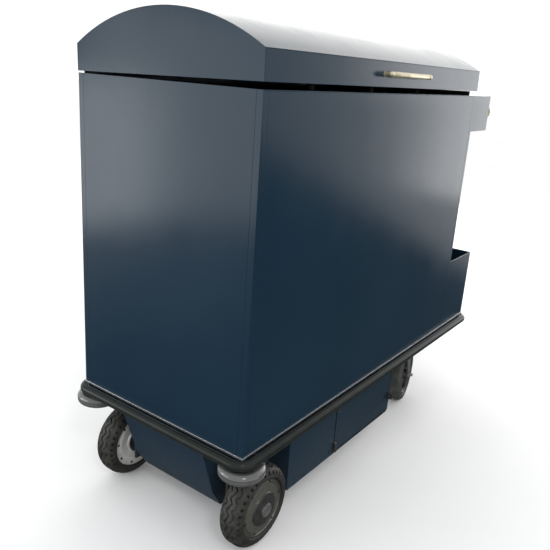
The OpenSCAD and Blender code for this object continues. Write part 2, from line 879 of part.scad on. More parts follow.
// The knob, its shaft through the door and the cam behind it, which points down while unlatched
module latch_knob() {
    grip = [4, 2];
    rim = 1;
    cam_t = 3;
    cam_x = box_half_w - 3 * box_t - 4 * gap - cam_t;
    cam_half = (latch_r - rim) / 2;
    color(black) {
        rod_x([box_half_w + gap, box_half_w + latch_l], latch_r, latch_y, latch_z);
        block([box_half_w + latch_l - cut, box_half_w + latch_l + grip[0]],
              [latch_y - grip[1], latch_y + grip[1]], [latch_z - latch_r + rim, latch_z + latch_r - rim]);
        rod_x([cam_x, box_half_w + cut], latch_r / 2, latch_y, latch_z);
        block([cam_x, cam_x + cam_t], [latch_y - cam_half, latch_y + cam_half],
              [latch_z - latch_in + 2 * box_t, latch_z]);
    }
}

module battery_pack() {
    lid_h = 12;
    inset = 6;
    z = box_z + box_t;
    y = box_rear_y - box_cham_y - battery_in;
    color("#3c4146") {
        block([-battery[0] / 2, battery[0] / 2], [y - battery[1], y], [z, z + battery[2] - lid_h]);
        block([-battery[0] / 2 + inset, battery[0] / 2 - inset], [y - battery[1] + inset, y - inset],
              [z + battery[2] - lid_h, z + battery[2]]);
    }
}

// ---- Fascia and controller ----

module front_fascia() {
    top_y = front_y + fascia_top_in;
    bend_y = front_y + fascia_bend_in;
    foot_y = front_y + fascia_foot_in;
    bend_z = box_z + fascia_bend_h;
    cheek = box_t + seam;
    color(navy) {
        along_x([-fascia_half_w, fascia_half_w]) polygon([
            [top_y, frame_bottom], [bend_y, bend_z], [foot_y, box_z],
            [foot_y + box_t, box_z], [bend_y + box_t, bend_z + box_t / 2], [top_y + box_t, frame_bottom]
        ]);
        both_sides() along_x([fascia_half_w - box_t, fascia_half_w]) polygon([
            [top_y + cheek, frame_bottom], [bend_y + cheek, bend_z + box_t / 2], [foot_y + cheek, box_z],
            [box_front_y - seam, box_z], [box_front_y - seam, frame_bottom]
        ]);
    }
}

module motor_controller() {
    fin_h = 10;
    fin_t = 3;
    z = box_z + box_t;
    y = box_front_y - controller_in;
    pitch = (controller[0] - fin_t) / (fin_count - 1);
    color(steel) {
        block([-controller[0] / 2, controller[0] / 2], [y - controller[1], y], [z, z + controller[2]]);
        for (i = [0 : fin_count - 1]) {
            x = -controller[0] / 2 + i * pitch;
            block([x, x + fin_t], [y - controller[1], y],
                  [z + controller[2] - cut, z + controller[2] + fin_h]);
        }
    }
}

// ---- Drive wheels ----

module drive_brackets() {
    flange_t = 8;
    y = [drive_y - bracket_half, drive_y + bracket_half];
    color(black) both_sides() difference() {
        union() {
            block([bracket_x - bracket_t, bracket_x], y, [drive_r - bracket_down, frame_bottom]);
            block([inner_bar_x - inner_bar_w / 2, bracket_x + 2 * bracket_t], y,
                  [frame_bottom - flange_t, frame_bottom]);
        }
        rod_x([bracket_x - 2 * bracket_t, bracket_x + cut], axle_d / 2 + run_fit, drive_y, drive_r);
    }
}

module drive_axles() {
    nut = 10;
    end = 4;
    shoulder_r = 13;
    nut_x = bracket_x - bracket_t - nut;
    color(bright) both_sides() {
        rod_x([nut_x - end, drive_x + rim_w / 2 + end], axle_d / 2, drive_y, drive_r);
        rod_x([bracket_x, drive_x - rim_w / 2 - side_plate - gap], shoulder_r, drive_y, drive_r);
        translate([nut_x, drive_y, drive_r]) rotate([0, 90, 0])
            cylinder(d = head_ratio * axle_d, h = nut, $fn = 6);
    }
}

module motor_stators() {
    end_gap = 6;
    ring_gap = 3;
    half = rim_w / 2 - side_plate - end_gap;
    color("#a86b3c") both_sides() difference() {
        rod_x([drive_x - half, drive_x + half], rim_r - rim_wall - ring_gap, drive_y, drive_r);
        rod_x([drive_x - half - cut, drive_x + half + cut], axle_d / 2 + run_fit, drive_y, drive_r);
    }
}

// Turns a profile about the drive axle: its first coordinate is the radius, its second runs outwards
module wheel_turn(side) {
    on_side(side) translate([drive_x, drive_y, drive_r]) rotate([0, 90, 0]) rotate_extrude() children();
}

module drive_tyre(side) {
    crown = drive_w - 2 * drive_shoulder;
    color(rubber) wheel_turn(side) difference() {
        union() {
            for (u = [-crown / 2, crown / 2])
                translate([drive_r - drive_shoulder, u]) circle(r = drive_shoulder);
            translate([drive_r - drive_shoulder, -crown / 2]) square([drive_shoulder, crown]);
        }
        translate([0, -drive_w]) square([rim_r, 2 * drive_w]);
    }
}

module drive_hub(side) {
    half = rim_w / 2;
    bore = axle_d / 2 + run_fit;
    boss_r = 24;
    color(bright) wheel_turn(side) union() {
        translate([rim_r - rim_wall, -half]) square([rim_wall, rim_w]);
        translate([bore, -half]) square([rim_r - rim_wall - bore + cut, side_plate]);
        translate([bore, -half - side_plate]) square([boss_r - bore, side_plate + cut]);
    }
}

module hub_cover(side) {
    half = rim_w / 2;
    dome_r = 46;
    dome_h = 4;
    cap_r = 19;
    reach = 18;
    bore = axle_d / 2 + run_fit;
    color(black) wheel_turn(side) difference() {
        union() {
            translate([0, half - side_plate]) square([rim_r - rim_wall - seam, side_plate]);
            translate([0, half - cut]) square([dome_r, side_plate + cut + dome_h]);
            translate([0, half]) square([cap_r, reach]);
        }
        square([bore, half + side_plate]);
    }
}

// ---- Casters ----

module caster_mounts() {
    plate_x = 60;
    race_r = 42;
    nut_t = 8;
    pin_foot = crown_z - gap - nut_t;
    color(steel) both_sides() translate([caster_x, swivel_y, 0]) {
        block([-plate_x, plate_x], [-beam_w / 2, beam_w / 2], [beam_z - mount_t, beam_z]);
        translate([0, 0, beam_z - mount_t - race_t]) cylinder(r = race_r, h = race_t + cut);
        translate([0, 0, pin_foot]) cylinder(d = kingpin_d, h = beam_z - mount_t - pin_foot);
        translate([0, 0, pin_foot]) cylinder(d = head_ratio * kingpin_d, h = nut_t);
    }
}

// Puts the right caster's moving pieces, drawn trailing straight back, on a side at their resting angle
module caster_at_rest(side) {
    translate([side * caster_x, swivel_y, 0]) rotate([0, 0, caster_turned])
        translate([-side * caster_x, -swivel_y, 0]) on_side(side) children();
}

// The outline of a fork leg, from the crown down to the axle
module fork_leg() {
    top_half = 34;
    boss_r = 18;
    top = crown_z + fork_t;
    difference() {
        union() {
            polygon([[swivel_y - top_half, top], [swivel_y + top_half, top],
                     [caster_wheel_y + boss_r, caster_r], [caster_wheel_y - boss_r, caster_r]]);
            translate([caster_wheel_y, caster_r]) circle(r = boss_r);
        }
        translate([caster_wheel_y, caster_r]) circle(d = bolt_d + 2 * run_fit);
    }
}

module caster_fork(side) {
    race_r = 40;
    crown_half = 36;
    color(steel) caster_at_rest(side) difference() {
        union() {
            for (x = [caster_x - fork_half, caster_x + fork_half - fork_t])
                along_x([x, x + fork_t]) fork_leg();
            block([caster_x - fork_half, caster_x + fork_half], [swivel_y - crown_half, swivel_y + crown_half],
                  [crown_z, crown_z + fork_t]);
            translate([caster_x, swivel_y, crown_z + fork_t - cut])
                cylinder(r = race_r, h = fork_race_t + cut);
        }
        translate([caster_x, swivel_y, crown_z - cut])
            cylinder(d = kingpin_d + 2 * run_fit, h = fork_t + fork_race_t + 2 * cut);
    }
}

module caster_bolt(side) {
    head = 8;
    thread = 7;
    out = fork_half + head + thread;
    color(bright) caster_at_rest(side) {
        rod_x([caster_x - out, caster_x + out], bolt_d / 2, caster_wheel_y, caster_r);
        for (x = [caster_x - fork_half - head, caster_x + fork_half])
            translate([x, caster_wheel_y, caster_r]) rotate([0, 90, 0])
                cylinder(d = head_ratio * bolt_d, h = head, $fn = 6);
    }
}

module caster_turn(side) {
    caster_at_rest(side) translate([caster_x, caster_wheel_y, caster_r]) rotate([0, 90, 0])
        rotate_extrude() children();
}

module caster_tyre(side) {
    shoulder = 12;
    half = caster_w / 2;
    color(rubber) caster_turn(side) difference() {
        union() {
            for (u = [-half + shoulder, half - shoulder])
                translate([caster_r - shoulder, u]) circle(r = shoulder);
            translate([caster_r - shoulder, -half + shoulder]) square([shoulder, caster_w - 2 * shoulder]);
            translate([0, -half]) square([caster_r - shoulder, caster_w]);
        }
        translate([0, -caster_w]) square([core_d / 2, 2 * caster_w]);
    }
}

module caster_core(side) {
    ring = 10;
    web = 12;
    hub_r = 20;
    bore = bolt_d / 2 + run_fit;
    half = caster_w / 2;
    inset = 3;
    color(black) caster_turn(side) union() {
        translate([core_d / 2 - ring, -half + inset]) square([ring, caster_w - 2 * inset]);
        translate([bore, -web / 2]) square([core_d / 2 - ring - bore + cut, web]);
        translate([bore, -half - fork_gap + 2 * gap])
            square([hub_r - bore, caster_w + 2 * fork_gap - 4 * gap]);
    }
}

frame_long_rails();
frame_cross_members();
frame_corner_blocks();
caster_beam();
deck_pan();
deck_edge_strips();
bumper_rail();
rail_saddles();
corner_roller(LEFT);  // corner_roller_left
corner_roller(RIGHT);  // corner_roller_right
roller_bolts();
end_wall(front_y);  // front_panel
end_wall(rear_y - wall_t);  // rear_panel
side_wall(LEFT);  // left_side_panel
side_wall(RIGHT);  // right_side_panel
corner_posts();
top_rim();
floor_mat();
lid_buffers();
lid_roof();
lid_gables();
lid_side_skirts();
lid_frame();
body_hinge_leaves();
lid_hinge_leaves();
hinge_pins();
lid_handle_bar();
lid_handle_posts();
control_box_housing();
control_box_cover();
switch_bezel();
switch_button();
bin_walls();
power_box_floor();
power_box_end_walls();
power_box_side_walls();
access_door();
latch_knob();
battery_pack();
front_fascia();
motor_controller();
drive_brackets();
drive_axles();
motor_stators();
drive_tyre(LEFT);  // drive_tyre_left
drive_tyre(RIGHT);  // drive_tyre_right
drive_hub(LEFT);  // drive_hub_left
drive_hub(RIGHT);  // drive_hub_right
hub_cover(LEFT);  // hub_cover_left
hub_cover(RIGHT);  // hub_cover_right
caster_mounts();
caster_fork(LEFT);  // caster_fork_left
caster_fork(RIGHT);  // caster_fork_right
caster_bolt(LEFT);  // caster_bolt_left
caster_bolt(RIGHT);  // caster_bolt_right
caster_tyre(LEFT);  // caster_tyre_left
caster_tyre(RIGHT);  // caster_tyre_right
caster_core(LEFT);  // caster_core_left
caster_core(RIGHT);  // caster_core_right
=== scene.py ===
import json
import math

import bmesh
import bpy
from mathutils import Matrix, Vector


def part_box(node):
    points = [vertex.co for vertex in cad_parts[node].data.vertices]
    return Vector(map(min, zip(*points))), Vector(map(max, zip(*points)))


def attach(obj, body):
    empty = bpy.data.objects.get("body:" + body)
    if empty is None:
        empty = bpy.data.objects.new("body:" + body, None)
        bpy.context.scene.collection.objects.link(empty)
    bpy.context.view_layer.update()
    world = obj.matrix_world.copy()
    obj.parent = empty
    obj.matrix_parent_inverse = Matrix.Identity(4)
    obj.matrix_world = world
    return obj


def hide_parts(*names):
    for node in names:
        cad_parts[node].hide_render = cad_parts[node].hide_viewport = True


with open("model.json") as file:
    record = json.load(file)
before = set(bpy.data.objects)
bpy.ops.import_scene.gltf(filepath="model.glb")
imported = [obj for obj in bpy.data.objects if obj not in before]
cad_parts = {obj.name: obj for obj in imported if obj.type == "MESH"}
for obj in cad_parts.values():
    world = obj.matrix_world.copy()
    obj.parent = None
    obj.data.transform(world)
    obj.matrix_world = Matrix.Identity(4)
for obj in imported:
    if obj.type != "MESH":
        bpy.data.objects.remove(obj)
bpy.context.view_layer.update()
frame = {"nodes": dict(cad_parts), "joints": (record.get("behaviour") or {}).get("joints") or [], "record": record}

MM = 0.001
TAU = 2 * math.pi
NODES = frame["nodes"]


# ---- Camera, floor and light ----

CAMERA_AT = (1.1315, -1.786, 1.2556)
CAMERA_TURN = (35.4, 17.4, 4.04)  # azimuth, elevation and roll in degrees
CAMERA_SHIFT = (-0.0054, -0.0067)
FLOOR_HALF = 30
CARD_Y = 5.2


def linked(name, data):
    """Makes an object from its data and puts it in the scene."""
    made = bpy.data.objects.new(name, data)
    bpy.context.scene.collection.objects.link(made)
    return made


def add_camera():
    data = bpy.data.cameras.new("camera")
    data.sensor_width = 36
    data.lens = 42.0
    data.shift_x, data.shift_y = CAMERA_SHIFT
    azimuth, elevation, roll = (math.radians(a) for a in CAMERA_TURN)
    forward = Vector((-math.sin(azimuth) * math.cos(elevation),
                      math.cos(azimuth) * math.cos(elevation), -math.sin(elevation)))
    level = forward.cross(Vector((0, 0, 1))).normalized()
    upright = level.cross(forward)
    right = level * math.cos(roll) + upright * math.sin(roll)
    up = upright * math.cos(roll) - level * math.sin(roll)
    camera = linked("camera", data)
    turn = Matrix((right, up, -forward)).transposed().to_4x4()
    camera.matrix_world = Matrix.Translation(CAMERA_AT) @ turn
    bpy.context.scene.camera = camera


def add_light(name, at, aim, size, power, colour=(1, 1, 1)):
    data = bpy.data.lights.new(name, "AREA")
    data.shape = "RECTANGLE"
    data.size, data.size_y = size
    data.energy = power
    data.color = colour
    light = linked(name, data)
    light.location = at
    light.rotation_euler = (Vector(aim) - Vector(at)).to_track_quat("-Z", "Y").to_euler()
    light.visible_camera = False


def add_world():
    """A white sky that fades out below the horizon."""
    world = bpy.data.worlds.new("studio")
    world.use_nodes = True
    tree = world.node_tree
    place = tree.nodes.new("ShaderNodeTexCoord")
    split = tree.nodes.new("ShaderNodeSeparateXYZ")
    fade = tree.nodes.new("ShaderNodeMapRange")
    fade.interpolation_type = "SMOOTHSTEP"
    for i, value in enumerate((-0.46, -0.12, 0.08, 1.12)):
        fade.inputs[i + 1].default_value = value
    tree.links.new(place.outputs["Generated"], split.inputs[0])
    tree.links.new(split.outputs["Z"], fade.inputs[0])
    tree.links.new(fade.outputs[0], tree.nodes["Background"].inputs["Strength"])
    tree.nodes["Background"].inputs["Color"].default_value = (1, 1, 1, 1)
    bpy.context.scene.world = world


def add_lights():
    """Each light's name, place, aim, size, power and colour."""
    cool, warm = (0.95, 0.98, 1), (1, 0.99, 0.955)
    add_light("back_light_low", (-1.05, 5.0, 0.55), (-0.5, 0, 1.0), (7.5, 1.1), 50)
    add_light("back_light_middle", (-0.9, 5.0, 1.55), (-0.4, 0, 1.0), (8.6, 0.9), 54)
    add_light("back_light_high", (-0.8, 5.0, 3.5), (-0.2, 0, 1.0), (9, 2.9), 66, warm)
    add_light("end_light_left", (-2.95, -2.8, 0.55), (-0.3, -0.7, 0.75), (1.0, 1.2), 11, cool)
    add_light("key_light", (2.6, -2.4, 3.2), (0.2, -0.3, 0.4), (0.5, 0.5), 22)
    add_light("end_light", (-1.5, -2.8, 0.95), (0, -0.7, 0.95), (1.9, 1.3), 17, cool)


def add_floor():
    bm = bmesh.new()
    bmesh.ops.create_grid(bm, x_segments=8, y_segments=8, size=FLOOR_HALF)
    mesh = bpy.data.meshes.new("floor")
    bm.to_mesh(mesh)
    bm.free()
    floor = linked("floor", mesh)
    mesh.materials.append(finish("floor_pale", (0.9, 0.9, 0.9), (0.87, 0.87, 0.875), rough=(0.75, 0.85),
                                 spots=2))
    floor.visible_glossy = False


def add_shade_card():
    """A grey card behind the cart, seen only in glossy paint, that darkens the lower part of its side."""
    mesh = bpy.data.meshes.new("shade_card")
    corners = [(0, CARD_Y, -1.4), (10, CARD_Y, 2.2), (10, CARD_Y, -6), (0, CARD_Y, -6)]
    mesh.from_pydata(corners, [], [(0, 1, 2, 3)])
    card = linked("shade_card", mesh)
    mesh.materials.append(finish("card_grey", (0.16, 0.18, 0.19), (0.2, 0.22, 0.23), rough=(0.8, 0.9),
                                 spots=2))
    card.visible_camera = card.visible_diffuse = card.visible_shadow = card.visible_transmission = False


def add_studio():
    bpy.context.scene.view_settings.view_transform = "Standard"
    add_world()
    add_lights()
    add_floor()
    add_shade_card()


# ---- Materials ----

class Shader:
    """A Principled material with helpers that add procedural nodes to it."""

    def __init__(self, name, metal=0.0, ior=1.5, coat=0.0, coat_rough=0.1, level=0.5):
        self.material = bpy.data.materials.new(name)
        self.material.use_nodes = True
        self.tree = self.material.node_tree
        self.principled = self.tree.nodes["Principled BSDF"]
        for socket, value in (("Metallic", metal), ("IOR", ior), ("Coat Weight", coat),
                              ("Coat Roughness", coat_rough), ("Specular IOR Level", level)):
            self.principled.inputs[socket].default_value = value
        self.place = self.node("ShaderNodeTexCoord").outputs["Object"]

    def node(self, kind, **settings):
        made = self.tree.nodes.new(kind)
        for key, value in settings.items():
            setattr(made, key, value)
        return made

    def link(self, output, socket):
        self.tree.links.new(output, socket)

    def set(self, made, **values):
        for key, value in values.items():
            made.inputs[key].default_value = value

    def moved(self, at=(0, 0, 0), scale=(1, 1, 1)):
        """The place on the surface, measured from a point and stretched."""
        made = self.node("ShaderNodeMapping", vector_type="TEXTURE")
        made.inputs["Location"].default_value = at
        made.inputs["Scale"].default_value = tuple(1 / s for s in scale)
        self.link(self.place, made.inputs["Vector"])
        return made.outputs["Vector"]

    def noise(self, scale, detail=3.0, place=None, rough=0.55):
        made = self.node("ShaderNodeTexNoise")
        self.set(made, Scale=scale, Detail=detail, Roughness=rough)
        self.link(place or self.place, made.inputs["Vector"])
        return made.outputs["Fac"]

    def spread(self, fac, low, high, to_low=0.0, to_high=1.0):
        made = self.node("ShaderNodeMapRange")
        for i, value in enumerate((low, high, to_low, to_high)):
            made.inputs[i + 1].default_value = value
        self.link(fac, made.inputs[0])
        return made.outputs[0]

    def math(self, operation, a, b=None):
        made = self.node("ShaderNodeMath", operation=operation)
        for i, value in enumerate((a, b)):
            if value is None:
                continue
            if isinstance(value, (int, float)):
                made.inputs[i].default_value = value
            else:
                self.link(value, made.inputs[i])
        return made.outputs[0]

    def mix(self, fac, a, b):
        made = self.node("ShaderNodeMix", data_type="RGBA")
        self.link(fac, made.inputs["Factor"])
        for socket, value in ((made.inputs[6], a), (made.inputs[7], b)):
            if isinstance(value, tuple):
                socket.default_value = (*value, 1)
            else:
                self.link(value, socket)
        return made.outputs[2]

    def colour(self, output):
        self.link(output, self.principled.inputs["Base Color"])

    def roughness(self, output):
        self.link(output, self.principled.inputs["Roughness"])

    def bump(self, height, distance, strength=1.0):
        made = self.node("ShaderNodeBump")
        self.set(made, Distance=distance, Strength=strength)
        self.link(height, made.inputs["Height"])
        self.link(made.outputs["Normal"], self.principled.inputs["Normal"])

    def radius(self, at, axis="X"):
        """Distance from an axle through a point."""
        split = self.node("ShaderNodeSeparateXYZ")
        self.link(self.moved(at), split.inputs[0])
        others = [split.outputs[a] for a in "XYZ" if a != axis]
        squares = [self.math("MULTIPLY", o, o) for o in others]
        return self.math("SQRT", self.math("ADD", *squares))

    def height(self):
        split = self.node("ShaderNodeSeparateXYZ")
        self.link(self.place, split.inputs[0])
        return split.outputs["Z"]


def finish(name, dark, light, rough=(0.4, 0.5), spots=12, grain=0, grain_depth=0.0, metal=0.0, **options):
    """A finish with soft colour change, uneven gloss and a fine grain."""
    s = Shader(name, metal=metal, **options)
    s.colour(s.mix(s.spread(s.noise(spots, 5), 0.3, 0.7), dark, light))
    s.roughness(s.spread(s.noise(spots * 3.3, 4), 0.3, 0.7, *rough))
    if grain:
        s.bump(s.noise(grain, 2), grain_depth)
    return s.material


def powder_coat(name, dark, light, rough=(0.12, 0.18)):
    """Satin powder coat with faint orange peel, slow colour change, low dust and wiping marks."""
    s = Shader(name, ior=1.3)
    slow = s.spread(s.noise(2.2, 4), 0.3, 0.7)
    streaks = s.spread(s.noise(9, 5, s.moved(scale=(1, 1, 0.12))), 0.45, 0.75)
    base = s.mix(slow, dark, light)
    low_down = s.spread(s.height(), 0.36, 0.10)
    dust = s.math("MULTIPLY", low_down, s.spread(s.noise(5, 3), 0.3, 0.7, 0.07, 0.13))
    s.colour(s.mix(dust, base, (0.13, 0.135, 0.135)))
    wiped = s.math("MULTIPLY", streaks, 0.05)
    s.roughness(s.math("ADD", s.spread(s.noise(5, 4), 0.3, 0.7, *rough), s.math("ADD", wiped, dust)))
    s.bump(s.noise(620, 2), 0.00009)
    return s.material


def turned_metal(name, at, dark, light, rough, metal):
    """Metal with fine turning marks about an axle."""
    s = Shader(name, metal=metal)
    marks = s.math("SINE", s.math("MULTIPLY", s.radius(at), 2400))
    s.colour(s.mix(s.spread(s.noise(40, 5), 0.35, 0.7), dark, light))
    s.roughness(s.spread(s.noise(90, 4), 0.3, 0.7, *rough))
    s.bump(marks, 0.00002)
    return s.material


def cover_metal(name, at):
    """Painted motor cover: a pale outer ring that is a painted reflection on the dark grey paint, a dark glossy
    dome and a worn cap.
    """
    s = Shader(name, metal=0.25)
    r = s.radius(at)
    # painted reflection: past the dome the dark grey cover is painted pale tan, standing in for the light it
    # reflects
    painted_reflection_ring = s.mix(s.spread(r, 0.0482, 0.0496), (0.026, 0.026, 0.027), (0.082, 0.080, 0.068))
    capped = s.mix(s.spread(r, 0.0194, 0.0204), (0.105, 0.104, 0.102), painted_reflection_ring)
    worn = s.mix(s.spread(s.noise(34, 5), 0.35, 0.7, 0, 0.3), capped, (0.06, 0.06, 0.055))
    s.colour(worn)
    s.roughness(s.spread(s.noise(90, 4), 0.3, 0.7, 0.24, 0.38))
    s.bump(s.math("SINE", s.math("MULTIPLY", r, 1500)), 0.00001)
    return s.material


def tyre_rubber(name, at, dark, dusty, worn_from, worn_to):
    """Black rubber, dusty grey-brown towards the tread, with a fine moulded grain."""
    s = Shader(name, ior=1.48, level=0.4)
    worn = s.spread(s.radius(at), worn_from, worn_to, 0.25, 0.95)
    dust = s.math("MULTIPLY", worn, s.spread(s.noise(34, 6, rough=0.65), 0.32, 0.7))
    s.colour(s.mix(dust, dark, dusty))
    s.roughness(s.spread(s.noise(70, 4), 0.3, 0.7, 0.46, 0.66))
    s.bump(s.noise(900, 3), 0.00012)
    return s.material


def middle(node):
    low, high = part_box(node)
    return (low + high) / 2


def joint(name):
    return next(j for j in frame["joints"] if j["name"] == name)


# ---- Mesh helpers ----

class Shape:
    """Collects faces for one piece, in metres in the shared frame."""

    def __init__(self):
        self.points = []
        self.faces = []

    def add(self, points, faces):
        first = len(self.points)
        self.points += [Vector(p) for p in points]
        self.faces += [[first + i for i in face] for face in faces]

    def grid(self, rows, close_rows=False, close_columns=False):
        """Joins rows of points that all have the same count."""
        count, width = len(rows), len(rows[0])
        faces = []
        for i in range(count if close_rows else count - 1):
            for j in range(width if close_columns else width - 1):
                a, b = i, (i + 1) % count
                c, d = j, (j + 1) % width
                faces.append((a * width + c, a * width + d, b * width + d, b * width + c))
        self.add([p for row in rows for p in row], faces)

    def turn(self, profile, at, axis, steps=96, closed=False):
        """Turns (radius, height along the axis) points about an axis and caps an open profile at its ends."""
        axis = Vector(axis).normalized()
        u = axis.orthogonal().normalized()
        v = axis.cross(u)
        at = Vector(at)
        angles = [TAU * k / steps for k in range(steps)]
        rows = [[at + axis * h + (u * math.cos(t) + v * math.sin(t)) * r for t in angles] for r,
                h in profile]
        first = len(self.points)
        self.grid(rows, close_rows=closed, close_columns=True)
        if not closed:
            last = first + (len(profile) - 1) * steps
            self.faces.append([first + k for k in range(steps)][::-1])
            self.faces.append([last + k for k in range(steps)])

    def sweep(self, path, outline, closed=False, up=(0, 0, 1)):
        """Carries an outline of (sideways, upwards) points along a path."""
        up = Vector(up)
        count = len(path)
        rows = []
        for i, p in enumerate(path):
            p = Vector(p)
            ahead = Vector(path[(i + 1) % count] if closed or i < count - 1 else path[i])
            behind = Vector(path[i - 1] if closed or i else path[i])
            along = (ahead - behind).normalized()
            side = along.cross(up).normalized()
            rows.append([p + side * a + up * b for a, b in outline])
        first = len(self.points)
        self.grid(rows, close_rows=closed, close_columns=True)
        if not closed:
            width = len(outline)
            self.faces.append([first + k for k in range(width)][::-1])
            self.faces.append([first + (count - 1) * width + k for k in range(width)])

    def block(self, low, high):
        xs, ys, zs = zip(low, high)
        points = [(x, y, z) for x in xs for y in ys for z in zs]
        self.add(points, [(0, 1, 3, 2), (4, 6, 7, 5), (0, 4, 5, 1), (2, 3, 7, 6), (0, 2, 6, 4),
                          (1, 5, 7, 3)])

    def piece(self, name, body, material, stands_for=(), bevel=0.0, sharp=32):
        mesh = bpy.data.meshes.new(name)
        mesh.from_pydata([tuple(p) for p in self.points], [], self.faces)
        bm = bmesh.new()
        bm.from_mesh(mesh)
        bmesh.ops.remove_doubles(bm, verts=bm.verts, dist=1e-6)
        bmesh.ops.recalc_face_normals(bm, faces=bm.faces)
        bm.to_mesh(mesh)
        bm.free()
        made = linked(name, mesh)
        mesh.materials.append(material)
        mesh.shade_smooth()
        if bevel:
            soften(made, bevel, sharp)
        else:
            mesh.set_sharp_from_angle(angle=math.radians(sharp))
        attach(made, body)
        if stands_for:
            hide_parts(*stands_for)
        return made


def soften(thing, width, angle=32, segments=2):
    """Rounds the hard edges of a piece a little."""
    weld = thing.modifiers.new("weld", "WELD")
    weld.merge_threshold = 1e-6
    bevel = thing.modifiers.new("bevel", "BEVEL")
    bevel.width = width
    bevel.segments = segments
    bevel.limit_method = "ANGLE"
    bevel.angle_limit = math.radians(angle)
    bevel.use_clamp_overlap = True
    normals = thing.modifiers.new("normals", "WEIGHTED_NORMAL")
    normals.keep_sharp = False
    normals.weight = 100
    for face in thing.data.polygons:
        face.use_smooth = True


def arc(middle_at, r, start, end, steps):
    """Points on an arc in a flat plane, angles in degrees."""
    out = []
    for k in range(steps + 1):
        t = math.radians(start + (end - start) * k / steps)
        out.append((middle_at[0] + r * math.cos(t), middle_at[1] + r * math.sin(t)))
    return out


def ring(r, steps):
    return [(r * math.cos(TAU * k / steps), r * math.sin(TAU * k / steps)) for k in range(steps)]


def socket_screw(shape, at, axis, r, h):
    """A round-headed screw with a socket."""
    shape.turn([(r * 0.97, 0), (r, h * 0.25), (r * 0.93, h * 0.66), (r * 0.72, h * 0.94), (r * 0.5, h),
                (r * 0.48, h * 0.98), (r * 0.44, h * 0.5)], at, axis, steps=24)


# ---- Running gear ----

def tyre_surface(r, half_w, shoulder, rim_r, detail, groove=()):
    """Outline of a tyre as (radius, sideways) from bead to bead, with a groove of (radius, depth)."""
    crown = half_w - shoulder
    foot = r - shoulder
    side = [(rim_r, -half_w + 0.006), (rim_r + 0.0008, -half_w + 0.0022),
            (rim_r + 0.0026, -half_w + 0.0004)]
    side += [(at, deep - half_w) for at, deep in groove]
    points = list(side)
    count = max(8, int(shoulder * math.pi / 2 / detail))
    for k in range(count + 1):
        t = math.pi / 2 * k / count
        points.append((foot + shoulder * math.sin(t), -crown - shoulder * math.cos(t)))
    flat = max(2, int(2 * crown / detail))
    points += [(r, -crown + 2 * crown * k / flat) for k in range(1, flat)]
    points += [(a, -b) for a, b in reversed(points[:len(side) + count + 1])]
    return points


def drive_tyre(side):
    """A tyre with three wavy lanes in the tread, smooth shoulders and a row of pockets on each of them."""
    node = "drive_tyre_" + side
    low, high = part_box(node)
    at = middle(node)
    r, half_w = (high.z - low.z) / 2, (high.x - low.x) / 2
    outline = tyre_surface(r, half_w, 0.028, 0.084, 0.0011)
    steps, waves, pockets, pocket_at = 476, 22, 34, 0.0375
    lanes, lane_half, lanes_end = ((-0.0170, 0.0030), (0.0, 0.0042), (0.0170, 0.0030)), 0.0029, 0.026
    bead_line = (0.0455, 0.0495)
    reach = [0.0]
    for (a, b), (c, d) in zip(outline, outline[1:]):
        reach.append(reach[-1] + math.hypot(c - a, d - b))
    centre = reach[-1] / 2
    shape = Shape()
    rows = []
    for i, (radius, out) in enumerate(outline):
        before, after = outline[max(i - 1, 0)], outline[min(i + 1, len(outline) - 1)]
        along = Vector((after[0] - before[0], after[1] - before[1])).normalized()
        normal = Vector((along.y, -along.x))
        s = reach[i] - centre
        row = []
        for k in range(steps):
            t = TAU * k / steps
            drop = 0.0
            if abs(s) < lanes_end:
                for lane, depth in lanes:
                    w = waves * t
                    swing = 0.0042 * math.sin(w) + 0.0012 * math.sin(2 * w + lane * 90)
                    gap = abs(s - lane - swing)
                    drop = max(drop, depth * max(0.0, min(1.0, (lane_half - gap) / 0.0010)))
            beside = abs(s) - pocket_at
            if abs(beside) < 0.0052:
                sideways = abs((t * pockets / TAU) % 1.0 - 0.5) * TAU * radius / pockets
                inside = (abs(beside) / 0.0048) ** 4 + (sideways / 0.0037) ** 4
                drop = max(drop, 0.0065 * max(0.0, min(1.0, (1.0 - inside) / 0.5)))
            if bead_line[0] < abs(s) < bead_line[1]:
                drop = max(drop, 0.0007 * (0.5 - 0.5 * math.cos(TAU * (abs(s) - bead_line[0]) / 0.002)))
            q = radius - normal.x * drop
            p = out - normal.y * drop
            row.append((at.x + p, at.y + q * math.cos(t), at.z + q * math.sin(t)))
        rows.append(row)
    bead_r = 0.0828
    for radius, out in ((bead_r, half_w - 0.0075), (bead_r, -half_w + 0.0075)):
        rows.append([(at.x + out, at.y + radius * math.cos(TAU * k / steps),
                      at.z + radius * math.sin(TAU * k / steps)) for k in range(steps)])
    shape.grid(rows, close_rows=True, close_columns=True)
    shape.piece("tread_" + side, "drive_wheel_" + side, TYRE[side], (node,), sharp=50)


